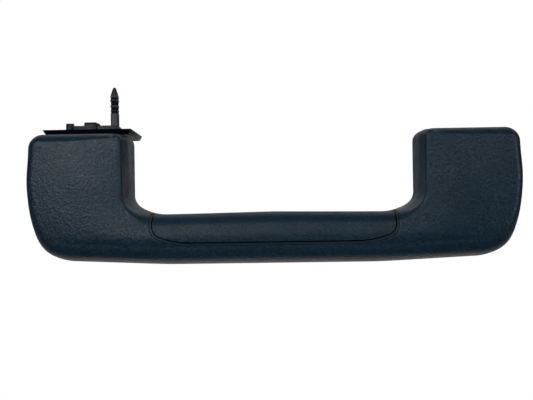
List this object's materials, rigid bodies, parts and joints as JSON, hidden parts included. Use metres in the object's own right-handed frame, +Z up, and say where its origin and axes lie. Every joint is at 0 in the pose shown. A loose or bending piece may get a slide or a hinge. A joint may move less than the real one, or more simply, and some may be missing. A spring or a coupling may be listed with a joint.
{
  "type": "roof grab handle",
  "caption": "U-shaped moulded roof grab handle with a softer grip panel, hinged on two brackets with barbed pins, one bracket folded and the other swung out.",
  "frame": {"origin": "point on the back of the right bracket's plate that rests on the roof structure, 28 mm below the pivot axis on the bracket's centre line", "axes": "+X along the handle towards its right end, +Y out of the cabin towards the body panel, +Z up from the grip to the pivots"},
  "size_m": [0.2415, 0.0573, 0.0911],
  "materials": {
    "shell_plastic": "fine leather grain, dark navy-charcoal",
    "insert_soft": "soft-touch, fine grain, slightly darker than the shell",
    "inner_plastic": "plain moulded, light sheen",
    "bracket_plastic": "plain moulded black",
    "pin_plastic": "plain moulded grey-black",
    "rubber": "plain",
    "steel": "bright plated",
    "clip_steel": "dark coated spring sheet"
  },
  "bodies": {
    "right_bracket_body": {"right_bracket": "bracket_plastic", "right_spring_clip": "clip_steel", "right_locking_pin": "pin_plastic", "right_bracket_left_bush": "pin_plastic", "right_bracket_right_bush": "pin_plastic"},
    "handle": {"front_shell": "shell_plastic", "grip_insert": "insert_soft", "insert_carrier": "inner_plastic", "rear_shell": "shell_plastic", "core_frame": "inner_plastic", "right_hinge_pin": "steel", "left_hinge_pin": "steel", "right_pin_clip": "steel", "left_pin_clip": "steel", "torsion_spring": "steel", "damper_body": "inner_plastic", "shell_screw_1": "steel", "shell_screw_2": "steel", "shell_screw_3": "steel", "shell_screw_4": "steel", "right_stop_buffer": "rubber", "left_stop_buffer": "rubber"},
    "left_bracket_body": {"left_bracket": "bracket_plastic", "left_spring_clip": "clip_steel", "left_locking_pin": "pin_plastic", "left_bracket_left_bush": "pin_plastic", "left_bracket_right_bush": "pin_plastic", "damper_rotor": "steel"}
  },
  "joints": [
    {"name": "handle_swing", "type": "hinge", "parent": "right_bracket_body", "child": "handle", "pos_m": [-0.09335, -0.0093, 0.028], "axis": [-1, 0, 0], "range_deg": [0, 90], "stiffness_Nm_per_rad": 0.06, "springref_deg": -28.65, "deforming": ["torsion_spring"]},
    {"name": "left_bracket_fold", "type": "hinge", "parent": "handle", "child": "left_bracket_body", "pos_m": [-0.09335, -0.0093, 0.028], "axis": [1, 0, 0], "range_deg": [-90, 0]}
  ]
}
